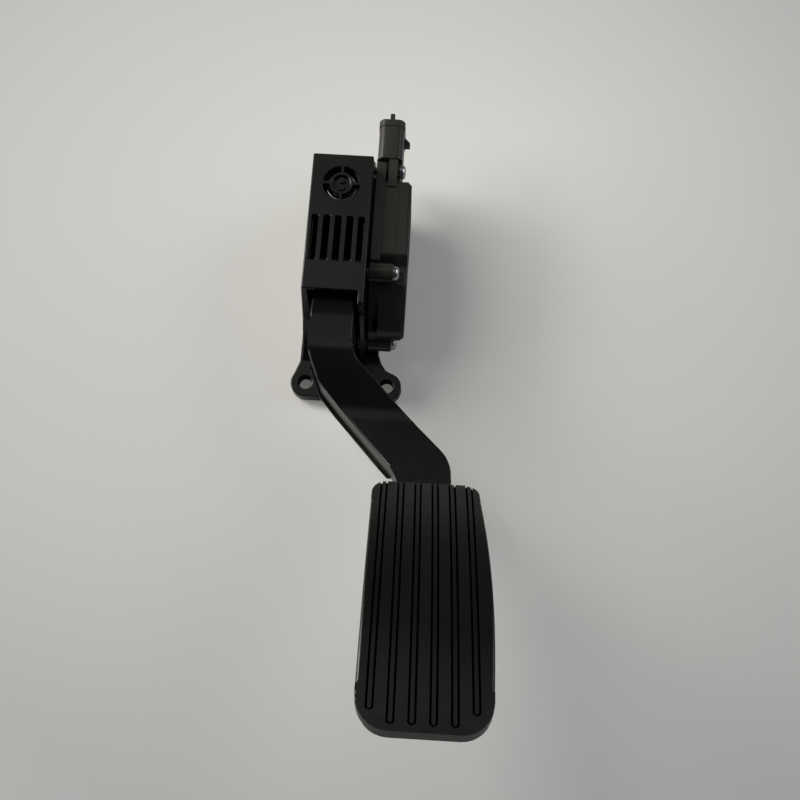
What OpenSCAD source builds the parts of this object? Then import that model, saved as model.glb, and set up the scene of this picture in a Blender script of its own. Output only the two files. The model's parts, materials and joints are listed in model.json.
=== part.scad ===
// Accelerator pedal: a moulded housing on a screwed base, a lever arm with a rubber pad,
// two return springs, and a contactless position sensor on the right side.
// X runs to the driver's right, Y into the wall behind, and Z up.
// The origin is midway between the two lower screw holes, on the mounting face.
// A depth is a distance from the mounting face towards the driver, along -Y.

/* [Mounting] */
// Distance between the two lower screw holes
hole_pitch = 40; // [38:0.5:46]
// Diameter of the screw holes
hole_d = 6.6; // [5.5:0.1:7]
// Radius of the ear round a screw hole
ear_r = 7.2; // [6.5:0.1:8]
// Thickness of the base
base_t = 7; // [6:0.5:8]
// Height of the upper screw hole above the lower pair
upper_hole_z = 106; // [105:1:112]
// Thickness of the base's front skin
base_skin = 2.6; // [2:0.1:3.2]
// Thickness of the ribs on the back of the base
base_rib = 1.8; // [1.2:0.1:2.4]
// Distance from the housing's left wall to the base's left edge
base_left_step = 4.4; // [3:0.1:5]
// Distance from the housing's right wall to the base's right edge
base_right_step = 5.8; // [4:0.1:6.5]

/* [Housing] */
// Centre plane of the housing, from the middle of the lower holes
housing_x = -5; // [-6:0.5:-4]
// Width of the housing
housing_w = 28; // [27:0.5:30]
// Depth of the housing's front face
housing_d = 60; // [59:0.5:64]
// Height of the housing's roof
roof_z = 95; // [94:0.5:98]
// Height of the front wall's lower edge
front_low_z = 27.5; // [25:0.5:29]
// Thickness of the housing's walls
wall = 2.6; // [2.2:0.1:3]
// How far the right wall hangs below the front wall
right_wall_drop = 6.5; // [4:0.5:8]

/* [Grille] */
// Height of the round grille's centre
grille_z = 80.2; // [79:0.2:82]
// Outer radius of the four arc slots
grille_r = 8.7; // [8:0.1:9.2]
// Outer radius of the ring inside the slots
grille_ring_r = 5.4; // [5:0.1:5.8]
// Radius of the hole in the ring
grille_hole_r = 3.9; // [3.4:0.1:4.2]
// Width of a spoke
spoke_w = 1.3; // [1:0.1:2]
// Number of upright slots
slot_n = 5; // [3:1:6]
// Width of an upright slot
slot_w = 3.2; // [2.4:0.1:3.6]
// Distance from one upright slot to the next
slot_pitch = 5.3; // [4.6:0.1:5.4]
// Height of the slots' lower ends
slot_low_z = 41.6; // [38:0.2:44]
// Length of an upright slot
slot_len = 21.8; // [16:0.2:22.6]

/* [Pivot] */
// Depth of the pivot axis
pivot_d = 28; // [27:0.5:30]
// Height of the pivot axis
pivot_z = 52; // [50:0.5:54]
// Radius of the pivot shaft
shaft_r = 4; // [3:0.1:4.5]
// Radial running clearance of the shaft in its bushes
shaft_gap = 0.05; // [0.02:0.01:0.1]
// Wall of a bush
bush_wall = 1.2; // [0.8:0.1:1.6]
// Radius of the arm's hub
hub_r = 9.5; // [8.5:0.1:10.5]
// Full travel of the pedal in degrees
travel = 16; // [12:1:17]

/* [Arm] */
// Width of the arm seen from the front, from the hub to its bend
arm_w = 19.2; // [17:0.2:20]
// Width of the arm where it meets the pad
arm_low_w = 22; // [20:0.2:24]
// Depth of the arm's front where it leaves the housing
arm_front_d = 54.5; // [52:0.5:55.5]
// Depth of the arm's rear where it leaves the housing
arm_rear_d = 30; // [29:0.5:31]
// How far the arm's front bulges above its bend
arm_bulge = 3; // [1:0.5:4]
// Height of the arm's waist, where it leans back furthest
waist_z = -26; // [-30:1:-22]
// Thickness of the arm's front skin and side walls
arm_wall = 2.6; // [2:0.1:3.4]
// Height at which the arm starts to lean to the right
lean_z = 2; // [0:0.5:4]
// Height at which the slanting part begins
slant_top_z = -7.5; // [-9:0.5:-6]
// Height at which the slanting part ends
slant_low_z = -50.5; // [-54:0.5:-46]
// Distance to the right that the arm gains before its slanting part
arm_bend_x = 4.4; // [3:0.2:6]
// Distance of the arm's lower end to the left of the pad's middle
arm_shift = 3; // [0:0.2:4]
// How far the rim along the arm's rear edge stands out at each side
arm_lip = 1.4; // [0.6:0.1:1.6]
// Thickness of the arm's cross ribs
arm_rib = 1.8; // [1.2:0.1:2.4]

/* [Pad] */
// Distance from the housing's centre plane to the pad's centre
pad_shift = 48.2; // [44:0.2:52]
// Length of the pad along its chord
pad_len = 103.5; // [96:0.5:112]
// Width of the pad at its lower end
pad_w = 47.6; // [44:0.2:52]
// Width of the pad at its upper end
pad_top_w = 43; // [40:0.2:46]
// Thickness of the pad and the foot plate together
pad_t = 5.4; // [5:0.1:7]
// Thickness of the rubber over the foot plate
pad_skin = 3; // [2:0.1:3.4]
// Thickness of the rubber round the foot plate's edge
pad_rim = 2.4; // [1.8:0.1:3]
// Radius of the pad's lengthwise curve
pad_curve_r = 220; // [200:5:260]
// Lean of the pad's chord from upright, in degrees
pad_tilt = 26.5; // [24:0.5:29]
// Depth of the pad's upper front edge
pad_top_d = 66; // [64:0.5:70]
// Height of the pad's upper front edge
pad_top_z = -58; // [-62:0.5:-57]
// Number of grooves
groove_n = 6; // [4:1:6]
// Distance between grooves at the pad's lower end
groove_pitch = 7.3; // [6.6:0.05:7.6]
// Distance between grooves at the pad's upper end
groove_top_pitch = 6.9; // [6.2:0.1:7.2]
// Width of a groove over both of its slits
groove_w = 3; // [2.4:0.1:3.6]
// Width of one slit
slit_w = 0.8; // [0.5:0.1:1]
// Depth of the slits
slit_d = 1.2; // [0.6:0.1:2]

/* [Springs] */
// Mean radius of the outer spring
outer_spring_r = 6.9; // [6.6:0.1:7.2]
// Wire diameter of the outer spring
outer_wire = 1.6; // [1.2:0.1:1.8]
// Turns of the outer spring
outer_turns = 5; // [4:1:6]
// Mean radius of the inner spring
inner_spring_r = 4.5; // [4.3:0.1:4.7]
// Wire diameter of the inner spring
inner_wire = 1.1; // [0.8:0.1:1.2]
// Turns of the inner spring
inner_turns = 6; // [5:1:7]
// Depth of the spring seat's bearing face
seat_d = 41.5; // [40:0.5:43]
// Thickness of the spring seat's flange
seat_t = 3; // [2:0.1:3.4]
// Radius of the spring seat's peg
peg_r = 2.9; // [2.4:0.1:3.2]

/* [Sensor] */
// Thickness of the seal under the sensor's flange
seal_t = 0.8; // [0.5:0.1:1.2]
// Thickness of the sensor's flange
flange_t = 4.7; // [4:0.1:5.4]
// Thickness of the sensor's body over the flange
body_t = 6.6; // [6:0.1:7]
// Thickness of the sensor body's floor
sensor_floor_t = 2.6; // [2.2:0.1:3]
// Thickness of the sensor's cover
cover_t = 6; // [5:0.1:6.4]
// Depth of the flange's front edge
flange_front_d = 50; // [49:0.5:51]
// Height of the flange's top edge
flange_top_z = 99; // [98:0.5:100]
// Height of the cover's top edge
cover_top_z = 89.8; // [88:0.2:91]
// Height of the cover's lower edge
cover_low_z = 18.4; // [17.5:0.1:20]
// Radius of a screw boss
boss_r = 4.4; // [4.2:0.1:4.8]
// Diameter of the sensor screws
screw_d = 3.5; // [3:0.1:4]
// Diameter of a screw's head
screw_head_d = 7; // [6.4:0.1:7.6]

/* [Connector] */
// Width of the connector shell across the pedal
conn_w = 11.9; // [11.5:0.1:13]
// Length of the connector shell from front to back
conn_len = 24; // [22:0.5:26]
// Depth of the connector shell's front face
conn_front_d = 50; // [48:0.5:51]
// Height of the connector shell's foot
conn_low_z = 100.4; // [100.2:0.1:102]
// Height of the connector shell's rim
conn_top_z = 121.4; // [120:0.2:124]
// Wall of the connector shell
conn_wall = 1.4; // [1.2:0.1:1.8]
// Number of contact pins
pin_n = 6; // [4:1:6]
// Distance between contact pins
pin_pitch = 3; // [2.5:0.1:3.2]

/* [Hidden] */
$fn = 64;

// Clearance between neighbouring pieces of one body
seat_gap = 0.02;
// Clearance between a moving piece and a fixed one
run_gap = 0.4;
// Gap left between a moving piece and the stop or lining that it meets
rest_gap = 0.3;
eps = 0.5;

// The housing's outer and inner side planes
left_x = housing_x - housing_w / 2;
right_x = housing_x + housing_w / 2;
in_left_x = left_x + wall;
in_right_x = right_x - wall;
front_in_d = housing_d - wall;
base_left_x = left_x - base_left_step;
base_right_x = right_x + base_right_step;

// The hub fills the housing between the bushes' collars
collar_t = 0.6;
hub_left_x = in_left_x + collar_t + run_gap;
hub_right_x = in_right_x - collar_t - run_gap;
bush_r = shaft_r + shaft_gap + bush_wall;

// The sensor's layers, one on the other
flange_x = right_x + seal_t;
body_x = flange_x + flange_t;
cover_x = body_x + body_t;
cover_out_x = cover_x + cover_t;
chamber_x = flange_x + sensor_floor_t;

// The pad's own frame
pad_x = housing_x + pad_shift;
pad_mid_d = pad_top_d + pad_len / 2 * sin(pad_tilt);
pad_mid_z = pad_top_z - pad_len / 2 * cos(pad_tilt);
pad_centre_y = sqrt(pow(pad_curve_r, 2) - pow(pad_len / 2, 2));

// Centres of the sensor's screws as [depth, height], and how far each reaches in under its head:
// the upper one lies above the roof, the other two end short of the arm
SENSOR_SCREWS = [[flange_front_d - 6, roof_z + 1.4], [flange_front_d - 2, 42], [17, 19.3]];
SCREW_REACH = [20, cover_x - right_x + 3.4, cover_x - right_x + 3.4];
head_t = 2.6;

// Unit vector along v
function unit(v) = v / norm(v);

// Arc of n steps that rounds corner b, between neighbours a and c, with radius r
function corner(a, b, c, r, n) =
    r <= 0 ? [b] :
    let (u = unit(a - b), v = unit(c - b), half = acos(u * v) / 2,
         m = b + unit(u + v) * r / sin(half),
         p = b + u * r / tan(half) - m, q = b + v * r / tan(half) - m,
         a0 = atan2(p[1], p[0]), turn = atan2(p[0] * q[1] - p[1] * q[0], p * q))
    [for (i = [0 : n]) m + r * [cos(a0 + turn * i / n), sin(a0 + turn * i / n)]];

// Outline through the corners of pts, each a [x, y, radius]
function rounded(pts, n = 6) =
    let (k = len(pts), p = [for (q = pts) [q[0], q[1]]])
    [for (i = [0 : k - 1]) each corner(p[(i + k - 1) % k], p[i], p[(i + 1) % k], pts[i][2], n)];

// Corner moved inwards by d, for an outline that runs anticlockwise
function inset_corner(a, b, c, d) =
    let (u = unit(b - a), v = unit(c - b), nu = [-u[1], u[0]], nv = [-v[1], v[0]])
    b + d * (nu + nv) / (1 + nu * nv);

// The same outline inset by d, its radii made smaller by as much
function inset(pts, d) =
    let (k = len(pts), p = [for (q = pts) [q[0], q[1]]])
    [for (i = [0 : k - 1])
        let (b = inset_corner(p[(i + k - 1) % k], p[i], p[(i + 1) % k], d))
        [b[0], b[1], max(0, pts[i][2] - d)]];

// Extrudes an (X, Z) outline from one depth to a greater one
module along_y(d0, d1) {
    translate([0, -d0, 0]) rotate([90, 0, 0]) linear_extrude(d1 - d0) children();
}

// Extrudes a (Y, Z) outline from x0 to x1
module along_x(x0, x1) {
    translate([x0, 0, 0]) rotate([90, 0, 90]) linear_extrude(x1 - x0) children();
}

// Round bar along X, centred on a [depth, height]
module rod_x(at, x0, x1, r) {
    translate([x0, -at[0], at[1]]) rotate([0, 90, 0]) cylinder(h = x1 - x0, r = r);
}

// Round bar along Y, centred on an [x, height]
module rod_y(at, d0, d1, r) {
    translate([at[0], -d0, at[1]]) rotate([90, 0, 0]) cylinder(h = d1 - d0, r = r);
}

// Box from one [x, depth, z] to another
module block(a, b) {
    translate([a[0], -b[1], a[2]]) cube([b[0] - a[0], b[1] - a[1], b[2] - a[2]]);
}

PIVOT = [pivot_d, pivot_z];
LEFT_HOLE = [-hole_pitch / 2, 0];
RIGHT_HOLE = [hole_pitch / 2, 0];
UPPER_HOLE = [housing_x, upper_hole_z];
HOLES = [LEFT_HOLE, RIGHT_HOLE, UPPER_HOLE];

// Base seen from the front: a plate with two lower ears on a common foot and one upper ear
BASE_LOW_Z = -ear_r;
BASE_TOP_Z = roof_z + 1;
foot_z = 10;
foot_flare = 2;
ear_slope = 4;
PLATE = [[base_left_x, foot_z - 2, 0], [base_right_x, foot_z - 2, 0],
         [base_right_x, BASE_TOP_Z, 4], [base_left_x, BASE_TOP_Z, 4]];

module base_outline(d = 0) {
    polygon(rounded(inset(PLATE, d)));
    polygon([[LEFT_HOLE[0], BASE_LOW_Z + d], [RIGHT_HOLE[0], BASE_LOW_Z + d],
             [RIGHT_HOLE[0] + foot_flare - d, ear_r * 0.94 - d], [RIGHT_HOLE[0] - foot_flare / 2 - d, foot_z - 1.6 - d],
             [base_right_x + foot_flare - d, foot_z + 1.6 - d], [base_right_x - d, foot_z + ear_r],
             [base_left_x + d, foot_z + 1], [LEFT_HOLE[0] - ear_r * 0.86 + d, ear_r * 0.52]]);
    polygon([[UPPER_HOLE[0] - ear_r + d, UPPER_HOLE[1]], [UPPER_HOLE[0] - ear_r - ear_slope + d, BASE_TOP_Z - d],
             [UPPER_HOLE[0] + ear_r + ear_slope - d, BASE_TOP_Z - d], [UPPER_HOLE[0] + ear_r - d, UPPER_HOLE[1]]]);
    for (h = HOLES) translate(h) circle(r = ear_r - d);
}

// Hollow side of the base: pockets between crossed ribs, open to the back
module base_pockets() {
    columns = 3;
    rows = 5;
    pitch_x = (base_right_x - base_left_x - base_rib) / columns;
    pitch_z = (BASE_TOP_Z - foot_z - base_rib) / rows;
    for (i = [0 : columns - 1]) for (j = [0 : rows - 1])
        block([base_left_x + base_rib + i * pitch_x, -eps, foot_z + base_rib + j * pitch_z],
              [base_left_x + (i + 1) * pitch_x, base_t - base_skin, foot_z + (j + 1) * pitch_z]);
    block([LEFT_HOLE[0] + ear_r + base_rib, -eps, BASE_LOW_Z + base_rib],
          [-base_rib / 2, base_t - base_skin, foot_z]);
    block([base_rib / 2, -eps, BASE_LOW_Z + base_rib],
          [RIGHT_HOLE[0] - ear_r - base_rib, base_t - base_skin, foot_z]);
}

// Side wall seen from the side: the lower edge slopes from the front wall back to the base
WALL_FOOT_Z = 11;
wall_step_d = 14;
LEFT_WALL = [[-housing_d, front_low_z, 0], [-pivot_d - 2, front_low_z - 3.5, 6],
             [-base_t - 5, WALL_FOOT_Z + 6, 5], [-base_t, WALL_FOOT_Z, 0],
             [-base_t, roof_z, 0], [-housing_d, roof_z, 0]];
RIGHT_WALL = [[-housing_d, front_low_z - right_wall_drop, 1.5],
              [-housing_d + wall_step_d, front_low_z - right_wall_drop, 4],
              [-base_t, WALL_FOOT_Z, 0], [-base_t, roof_z, 0], [-housing_d, roof_z, 0]];

// Plan of the housing: its left wall leans out towards the base
module housing_plan() {
    polygon([[left_x, -housing_d], [right_x, -housing_d], [right_x, -base_t + eps],
             [left_x - base_left_step * 0.8, -base_t + eps]]);
}

module housing_shell() {
    intersection() {
        translate([0, 0, BASE_LOW_Z]) linear_extrude(roof_z - BASE_LOW_Z) housing_plan();
        union() {
            along_x(base_left_x, housing_x) polygon(rounded(LEFT_WALL));
            along_x(housing_x, right_x) polygon(rounded(RIGHT_WALL));
        }
    }
}

// Space in which the arm swings, open at the bottom and under the front wall
module housing_cavity() {
    block([in_left_x, base_t, BASE_LOW_Z - eps], [in_right_x, front_in_d, roof_z - wall]);
    block([in_left_x, base_t, BASE_LOW_Z - eps], [in_right_x, housing_d + eps, front_low_z]);
}

// Four arc slots round a ring, and a blind hole in the ring with two low pegs on its floor
grille_floor_t = 1;
module grille_cut() {
    difference() {
        rod_y([housing_x, grille_z], front_in_d - eps, housing_d + eps, grille_r);
        rod_y([housing_x, grille_z], front_in_d - 2 * eps, housing_d + 2 * eps, grille_ring_r);
        block([housing_x - spoke_w / 2, front_in_d - 2 * eps, grille_z - grille_r - eps],
              [housing_x + spoke_w / 2, housing_d + 2 * eps, grille_z + grille_r + eps]);
        block([housing_x - grille_r - eps, front_in_d - 2 * eps, grille_z - spoke_w / 2],
              [housing_x + grille_r + eps, housing_d + 2 * eps, grille_z + spoke_w / 2]);
    }
    difference() {
        rod_y([housing_x, grille_z], front_in_d + grille_floor_t, housing_d + eps, grille_hole_r);
        for (s = [-1, 1])
            rod_y([housing_x, grille_z + s * grille_hole_r * 0.45], front_in_d, housing_d - wall / 4, grille_hole_r * 0.36);
    }
}

module slots_cut() {
    for (i = [0 : slot_n - 1])
        translate([(i - (slot_n - 1) / 2) * slot_pitch, 0, 0])
            block([housing_x - slot_w / 2, front_in_d - eps, slot_low_z],
                  [housing_x + slot_w / 2, housing_d + eps, slot_low_z + slot_len]);
}

// Collar inside the front wall that holds the outer spring's end
collar_len = 4;
collar_wall = 1.4;
collar_in_r = outer_spring_r + outer_wire / 2 + run_gap;
module spring_collar() {
    difference() {
        rod_y([housing_x, grille_z], front_in_d - collar_len, front_in_d + eps, collar_in_r + collar_wall);
        rod_y([housing_x, grille_z], front_in_d - collar_len - eps, front_in_d + eps, collar_in_r);
    }
}

// Screw bosses of the housing, one across the roof and two that end beside the arm, and the
// strip above the roof that carries the top of the sensor's flange
lug_in = 3.6;
roof_lug_len = 12;
module housing_bosses() {
    rod_x(SENSOR_SCREWS[0], right_x - roof_lug_len, right_x, boss_r);
    block([right_x - roof_lug_len, SENSOR_SCREWS[0][0] - boss_r, roof_z - wall],
          [right_x, SENSOR_SCREWS[0][0] + boss_r, SENSOR_SCREWS[0][1]]);
    block([right_x - wall, base_t - eps, roof_z - wall], [right_x, flange_front_d - 1, flange_top_z - 1]);
    rod_x(SENSOR_SCREWS[1], right_x - lug_in, right_x, boss_r - 1);
    rod_x(SENSOR_SCREWS[2], right_x - lug_in, right_x, boss_r);
}

bush_boss_r = bush_r + 2.2;
bush_skin = 0.8;
bush_out_x = left_x + bush_skin;
bush_in_x = flange_x + 1.2;
stop_r = 4.5;
stop_rim = 1;
stop_sink = 1.5;
stop_drop = 33;
STOP_LOW = [housing_x, pivot_z - stop_drop];
STOP_IDLE = [housing_x, grille_z - 1.2];

module housing() {
    color("#232427") difference() {
        union() {
            along_y(0, base_t) base_outline();
            difference() {
                housing_shell();
                housing_cavity();
            }
            spring_collar();
            housing_bosses();
            rod_x(PIVOT, in_right_x, bush_in_x, bush_boss_r);
        }
        base_pockets();
        grille_cut();
        slots_cut();
        for (h = HOLES) rod_y(h, -eps, base_t + eps, hole_d / 2);
        rod_x(PIVOT, bush_out_x, bush_in_x + eps, bush_r + seat_gap);
        for (i = [0 : 2])
            rod_x(SENSOR_SCREWS[i], cover_x - SCREW_REACH[i] - eps, right_x + eps, screw_d / 2 + seat_gap);
        for (s = [STOP_LOW, STOP_IDLE]) rod_y(s, base_t - stop_sink, base_t + eps, stop_r - stop_rim + seat_gap);
    }
}

// Flanged bush: the collar is on the inside of the wall
module bush(x0, x1, collar_x) {
    difference() {
        union() {
            rod_x(PIVOT, x0, x1, bush_r);
            rod_x(PIVOT, collar_x, collar_x + collar_t, bush_r + bush_wall);
        }
        rod_x(PIVOT, x0 - eps, x1 + eps, shaft_r + shaft_gap);
    }
}

module left_bush() {
    color("#c9b27a") bush(bush_out_x + seat_gap, in_left_x + collar_t, in_left_x);
}

module right_bush() {
    color("#c9b27a") bush(in_right_x - collar_t, bush_in_x, in_right_x - collar_t);
}

// Steel shaft pressed into the arm's hub; a groove between the right bush and the rotor takes the clip
clip_t = 0.8;
clip_x = bush_in_x + rest_gap + clip_t;
clip_w = 2.2;
groove_depth = 0.7;
shaft_left_x = bush_out_x + rest_gap;
shaft_right_x = chamber_x + 3.4;
module pivot_shaft() {
    color("#b5b8bc") difference() {
        rod_x(PIVOT, shaft_left_x, shaft_right_x, shaft_r);
        difference() {
            rod_x(PIVOT, clip_x - clip_t - seat_gap, clip_x + seat_gap, shaft_r + eps);
            rod_x(PIVOT, clip_x - clip_t - eps, clip_x + eps, shaft_r - groove_depth);
        }
    }
}

// Open retaining ring in the shaft's groove
module shaft_clip() {
    color("#8d9094") difference() {
        rod_x(PIVOT, clip_x - clip_t, clip_x, shaft_r + clip_w);
        rod_x(PIVOT, clip_x - clip_t - eps, clip_x + eps, shaft_r - groove_depth + seat_gap);
        block([clip_x - clip_t - eps, pivot_d - shaft_r * 0.65, pivot_z - shaft_r - clip_w - eps],
              [clip_x + eps, pivot_d + shaft_r * 0.65, pivot_z]);
    }
}

// Arm seen from the front, as its centre line
arm_low_x = pad_x - arm_shift;
ARM_LINE = [[housing_x, pivot_z + hub_r / 2], [housing_x + arm_bend_x / 10, lean_z],
            [housing_x + arm_bend_x, slant_top_z], [arm_low_x, slant_low_z], [arm_low_x, pad_mid_z]];
ARM_RADII = [0, 14, 10, 12, 0];

// Point of the line moved sideways by s, along the bisector of its corner
function side_point(line, i, s) =
    let (k = len(line) - 1,
         u = unit(line[max(i, 1)] - line[max(i, 1) - 1]),
         v = unit(line[min(i, k - 1) + 1] - line[min(i, k - 1)]),
         nu = [-u[1], u[0]], nv = [-v[1], v[0]])
    line[i] + s * (nu + nv) / (1 + nu * nv);

// Band along a line, of width w down to the bend and wider by grow below it, its corners rounded
function band(line, radii, w, grow) =
    let (k = len(line) - 1, half = [for (i = [0 : k]) (w + (i > k - 2 ? grow : 0)) / 2])
    concat([for (i = [0 : k])
                let (p = side_point(line, i, -half[i])) [p[0], p[1], max(0, radii[i] + w / 4)]],
           [for (i = [k : -1 : 0])
                let (p = side_point(line, i, half[i])) [p[0], p[1], max(0, radii[i] + w / 4)]]);

// The same band with square corners at both of its ends
function square_ends(pts, k) = [for (i = [0 : len(pts) - 1])
    (i % k == 0 || i % k == k - 1) ? [pts[i][0], pts[i][1], 0] : pts[i]];

module arm_front(w) {
    polygon(rounded(square_ends(band(ARM_LINE, ARM_RADII, w, arm_low_w - arm_w), len(ARM_LINE)), 8));
}

// Point (Y, Z) on the pad's middle: s up its chord from the middle, d under its front surface
function pad_point(s, d) =
    let (y = pad_centre_y - sqrt(pow(pad_curve_r - d, 2) - s * s))
    [-pad_mid_d + y * cos(pad_tilt) + s * sin(pad_tilt), pad_mid_z - y * sin(pad_tilt) + s * cos(pad_tilt)];

// Front and rear of the arm seen from the side, from the top down and back up, as (Y, Z, radius)
foot_d = (pad_skin + pad_t) / 2;
arm_end = pad_len * 0.12;
heel_t = 15;
waist_in = 2.5;
ARM_FRONT = [[-pivot_d - hub_r / 2, pivot_z + hub_r / 2, 0], [-pivot_d - hub_r, pivot_z - hub_r / 2, 8],
             [-arm_front_d + waist_in, front_low_z + 8, 8], [-arm_front_d - arm_bulge / 2, front_low_z - 10, 20],
             [-arm_front_d - arm_bulge, lean_z, 12], [-arm_front_d + waist_in, waist_z, 18],
             [each pad_point(pad_len / 2 + 1, pad_t + 0.1), 2], [each pad_point(pad_len / 2 - pad_rim - 0.1, pad_t + 0.1), 0],
             [each pad_point(pad_len / 2 - pad_rim - 1, foot_d), 0], [each pad_point(arm_end, foot_d), 0]];
ARM_REAR = [[each pad_point(arm_end, pad_t - 0.1), 0], [each pad_point(pad_len / 3, pad_t + heel_t), 14],
            [-arm_rear_d, slant_low_z + 5, 20], [-arm_rear_d + 2 * waist_in, waist_z + 4, 20], [-arm_rear_d, lean_z + 4, 20],
            [-arm_rear_d + waist_in, pivot_z - 32, 8], [-pivot_d + hub_r * 0.75, pivot_z - hub_r / 2, 0]];

module arm_side() {
    polygon(rounded(concat(ARM_FRONT, ARM_REAR), 8));
}

// Lever above the hub, which the springs push on
lever_w = 15;
lever_rear_d = 15.4;
lever_front_d = seat_d - seat_t - 1;
lever_top_z = grille_z + 5.8;
LEVER = [[-pivot_d + hub_r * 0.63, pivot_z, 0], [-lever_rear_d, STOP_IDLE[1] - stop_r - 1.5, 3],
         [-lever_rear_d, lever_top_z - 1, 3], [-pivot_d + 0.5, lever_top_z, 2],
         [-lever_front_d, lever_top_z, 0], [-lever_front_d, pivot_z + hub_r + 2.5, 3],
         [-pivot_d - hub_r * 0.63, pivot_z, 0]];

// Foot plate under the rubber, and the pad's own outline seen square on
pad_lean = 2.7;
pad_bulge = 0.6;
pad_bulge_z = 2;
// The right side bows: its one long arc takes up most of the side above the bulge
pad_side_turn = atan(pad_bulge / (pad_len / 2 + pad_bulge_z))
    + atan((pad_w / 2 + pad_bulge - pad_top_w / 2 + pad_lean) / (pad_len / 2 - pad_bulge_z));
pad_side_r = 0.6 * (pad_len / 2 - pad_bulge_z) / tan(pad_side_turn / 2);
PAD = [[-pad_w / 2, -pad_len / 2, 12], [pad_w / 2, -pad_len / 2, 11],
       [pad_w / 2 + pad_bulge, pad_bulge_z, pad_side_r],
       [pad_top_w / 2 - pad_lean, pad_len / 2, 6.5], [-pad_top_w / 2 - pad_lean, pad_len / 2, 6.5]];

module pad_frame() {
    translate([pad_x, -pad_mid_d, pad_mid_z]) rotate([-pad_tilt, 0, 0]) children();
}

// Curved slab between two depths under the pad's front surface, in the pad's frame
module pad_slab(d0, d1, margin) {
    intersection() {
        along_y(-pad_len / 4, pad_len / 4) polygon(rounded(inset(PAD, margin), 8));
        translate([-pad_w, pad_centre_y, 0]) rotate([0, 90, 0]) difference() {
            cylinder(h = 2 * pad_w, r = pad_curve_r - d0, $fn = 180);
            translate([0, 0, -1]) cylinder(h = 2 * pad_w + 2, r = pad_curve_r - d1, $fn = 180);
        }
    }
}

// Channel in the back of the arm, behind its front skin and open to the back
channel_top_z = 12;
skin_d = arm_wall * 1.15;
channel_low = pad_point(pad_len / 2 - 2 * arm_wall, pad_t + arm_wall / 2);
CHANNEL = concat([[housing_d, channel_top_z, 0], [ARM_FRONT[4][0] + skin_d, channel_top_z, 2]],
                 [for (i = [4 : 6]) [ARM_FRONT[i][0] + skin_d, ARM_FRONT[i][1], ARM_FRONT[i][2] / 2]],
                 [[channel_low[0], channel_low[1], 2], [housing_d, channel_low[1], 0]]);

module arm_channel(w) {
    intersection() {
        along_y(-2 * housing_d, 2 * housing_d) arm_front(w);
        along_x(left_x, pad_x + pad_w) polygon(rounded(CHANNEL));
    }
}

// Slanted ribs across the channel: each sinks into the front skin and ends short of the arm's rear edge
rib_n = 6;
rib_lean = 24;
rib_short = 2;
module arm_ribs() {
    rise = (channel_top_z - channel_low[1]) / rib_n;
    intersection() {
        along_y(0, 2 * housing_d) arm_front(arm_w - arm_wall);
        translate([0, skin_d / 2, 0]) along_x(left_x, pad_x + pad_w) arm_side();
        translate([0, -rib_short, 0]) along_x(left_x, pad_x + pad_w) arm_side();
        union() for (i = [1 : rib_n - 1]) {
            z = channel_top_z - i * rise;
            x = lookup(z, [for (p = ARM_LINE) [p[1], p[0]]]);
            translate([x, 0, z]) rotate([0, i % 2 == 0 ? rib_lean : -rib_lean, 0])
                cube([3 * arm_w, 4 * housing_d, arm_rib], center = true);
        }
    }
}

// Rim along the arm's rear edge, from below the housing down to the pad
lip_t = 3;
lip_front = -arm_rear_d - lip_t;
LIP = [[0, lean_z - 2], [lip_front, lean_z - 2], [lip_front + 2 * waist_in, waist_z + 4],
       [lip_front, slant_low_z + 5], [lip_front - lip_t, pad_top_z], [0, pad_top_z]];
module arm_rim() {
    intersection() {
        along_y(0, 2 * housing_d) arm_front(arm_w + 2 * arm_lip);
        along_x(left_x - arm_w, pad_x + pad_w + 1) polygon(LIP);
        along_x(left_x - 1, pad_x + pad_w) arm_side();
    }
}

module pedal_arm() {
    color("#1d1e21") difference() {
        union() {
            difference() {
                union() {
                    intersection() {
                        along_y(0, 2 * housing_d) arm_front(arm_w);
                        along_x(left_x, pad_x + pad_w) arm_side();
                    }
                    arm_rim();
                }
                arm_channel(arm_w - 2 * arm_wall);
            }
            arm_ribs();
            rod_x(PIVOT, hub_left_x, hub_right_x, hub_r);
            along_x(housing_x - lever_w / 2, housing_x + lever_w / 2) polygon(rounded(LEVER));
            pad_frame() pad_slab(pad_skin, pad_t, pad_rim);
        }
        rod_x(PIVOT, hub_left_x - eps, hub_right_x + eps, shaft_r + seat_gap);
        rod_y([housing_x, grille_z], seat_d - peg_in - eps, seat_d, peg_r + seat_gap);
    }
}

// Rubber cover: wraps the foot plate's edge, with grooves along its face
outer_rise = 6.1;
inner_rise = 2;
groove_shift = -1.2;
groove_lean = 1.1;
module pad_groove(i) {
    k = i - (groove_n - 1) / 2;
    lean = atan(k * (groove_pitch - groove_top_pitch) / pad_len) + groove_lean;
    rise = (i == 0 || i == groove_n - 1) ? outer_rise : inner_rise;
    low = -pad_len / 2 + rise + groove_w / 2;
    translate([k * (groove_pitch + groove_top_pitch) / 2 + groove_shift, 0, 0]) rotate([0, -lean, 0])
        along_y(-pad_len / 4, pad_len / 4) difference() {
            union() {
                translate([0, low]) circle(r = groove_w / 2, $fn = 32);
                translate([-groove_w / 2, low]) square([groove_w, pad_len]);
            }
            translate([0, low]) circle(r = groove_w / 2 - slit_w, $fn = 32);
            translate([-groove_w / 2 + slit_w, low]) square([groove_w - 2 * slit_w, pad_len + 1]);
        }
}

module pad_cover() {
    color("#17181a") pad_frame() difference() {
        pad_slab(0, pad_t, 0);
        pad_slab(pad_skin - seat_gap, pad_t + 1, pad_rim - seat_gap);
        intersection() {
            for (i = [0 : groove_n - 1]) pad_groove(i);
            pad_slab(-1, slit_d, -2);
        }
    }
}

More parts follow.
